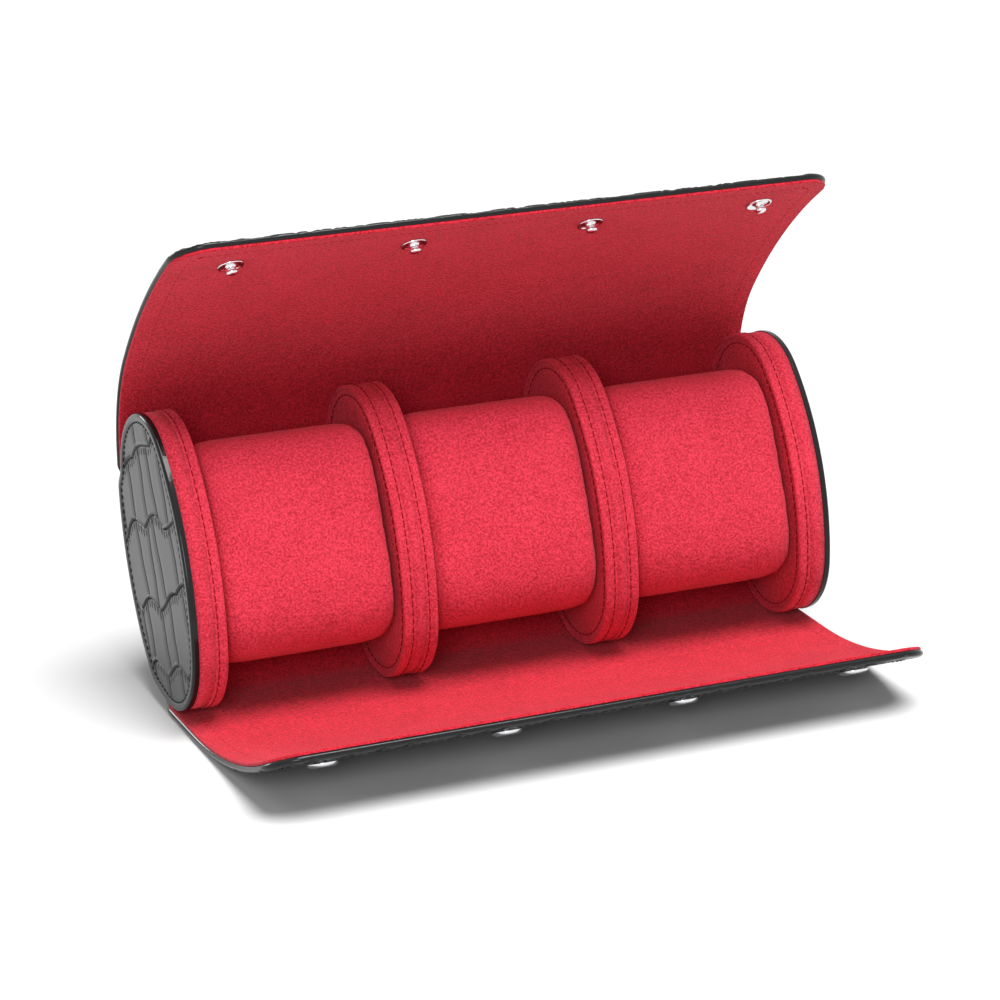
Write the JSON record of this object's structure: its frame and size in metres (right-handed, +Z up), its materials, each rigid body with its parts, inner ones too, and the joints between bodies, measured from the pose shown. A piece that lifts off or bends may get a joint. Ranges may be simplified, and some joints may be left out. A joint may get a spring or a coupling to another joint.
{
  "type": "watch travel case",
  "caption": "Watch travel case: lift-out cushions between oval discs sewn into a wrapped sheet of embossed leather and suede, with a roll-over lid and a snap-closed front flap",
  "frame": {"origin": "middle of the flat face that the case stands on", "axes": "X runs along the case, Y points to its back and Z points up"},
  "size_m": [0.228, 0.1432, 0.1628],
  "materials": {
    "leather": "gloss",
    "suede": "matte",
    "board": "matte",
    "stiff_board": "matte",
    "foam": "matte",
    "metal": "polished"
  },
  "bodies": {
    "case": {"spine_leather": "leather", "spine_board": "board", "spine_lining": "suede", "left_end_leather": "leather", "left_end_board": "board", "left_end_foam": "foam", "left_end_rim": "suede", "left_end_binding": "suede", "left_end_face": "suede", "right_end_leather": "leather", "right_end_board": "board", "right_end_foam": "foam", "right_end_rim": "suede", "right_end_binding": "suede", "right_end_face": "suede", "divider_1_core": "foam", "divider_1_rim": "suede", "divider_1_bindings": "suede", "divider_1_faces": "suede", "divider_2_core": "foam", "divider_2_rim": "suede", "divider_2_bindings": "suede", "divider_2_faces": "suede"},
    "lid_1": {"lid_strip_1_leather": "leather", "lid_strip_1_lining": "suede"},
    "lid_2": {"lid_strip_2_leather": "leather", "lid_strip_2_lining": "suede"},
    "lid_3": {"lid_strip_3_leather": "leather", "lid_strip_3_lining": "suede"},
    "lid_4": {"lid_panel_leather": "leather", "lid_panel_board": "board", "lid_panel_lining": "suede", "snap_studs": "metal"},
    "front_1": {"front_strip_1_leather": "leather", "front_strip_1_lining": "suede"},
    "front_2": {"front_strip_2_leather": "leather", "front_strip_2_lining": "suede"},
    "front_3": {"front_panel_leather": "leather", "front_panel_board": "stiff_board", "front_panel_lining": "suede", "snap_sockets": "metal", "socket_springs": "metal"},
    "cushion_1": {"cushion_1_cover": "suede", "cushion_1_foam": "foam"},
    "cushion_2": {"cushion_2_cover": "suede", "cushion_2_foam": "foam"},
    "cushion_3": {"cushion_3_cover": "suede", "cushion_3_foam": "foam"}
  },
  "joints": [
    {"name": "lid_fold_1", "type": "hinge", "parent": "case", "child": "lid_1", "pos_m": [0, 0.04431, 0.0819], "axis": [1, 0, 0], "range_deg": [-6, 25.6]},
    {"name": "lid_fold_2", "type": "hinge", "parent": "lid_1", "child": "lid_2", "pos_m": [0, 0.03833, 0.10299], "axis": [1, 0, 0], "range_deg": [-6, 25.6]},
    {"name": "lid_fold_3", "type": "hinge", "parent": "lid_2", "child": "lid_3", "pos_m": [0, 0.02516, 0.12069], "axis": [1, 0, 0], "range_deg": [-6, 25.6]},
    {"name": "lid_fold_4", "type": "hinge", "parent": "lid_3", "child": "lid_4", "pos_m": [0, 0.00976, 0.13652], "axis": [1, 0, 0], "range_deg": [-6, 25.6]},
    {"name": "front_fold_1", "type": "hinge", "parent": "case", "child": "front_1", "pos_m": [0, -0.00677, 0.0032], "axis": [-1, 0, 0], "range_deg": [0, 29.7]},
    {"name": "front_fold_2", "type": "hinge", "parent": "front_1", "child": "front_2", "pos_m": [0, -0.02167, 0.0032], "axis": [-1, 0, 0], "range_deg": [0, 29.7]},
    {"name": "front_fold_3", "type": "hinge", "parent": "front_2", "child": "front_3", "pos_m": [0, -0.03654, 0.00399], "axis": [-1, 0, 0], "range_deg": [0, 29.7]},
    {"name": "cushion_1_slide", "type": "slide", "parent": "case", "child": "cushion_1", "axis": [0, 0.9092, -0.4163], "range_m": [-0.078, 0]},
    {"name": "cushion_2_slide", "type": "slide", "parent": "case", "child": "cushion_2", "axis": [0, 0.9092, -0.4163], "range_m": [-0.078, 0]},
    {"name": "cushion_3_slide", "type": "slide", "parent": "case", "child": "cushion_3", "axis": [0, 0.9092, -0.4163], "range_m": [-0.078, 0]}
  ],
  "couplings": [
    {"joint": "lid_fold_2", "follows": "lid_fold_1", "ratio": 1},
    {"joint": "lid_fold_3", "follows": "lid_fold_1", "ratio": 1},
    {"joint": "lid_fold_4", "follows": "lid_fold_1", "ratio": 1},
    {"joint": "front_fold_2", "follows": "front_fold_1", "ratio": 1},
    {"joint": "front_fold_3", "follows": "front_fold_1", "ratio": 1}
  ]
}
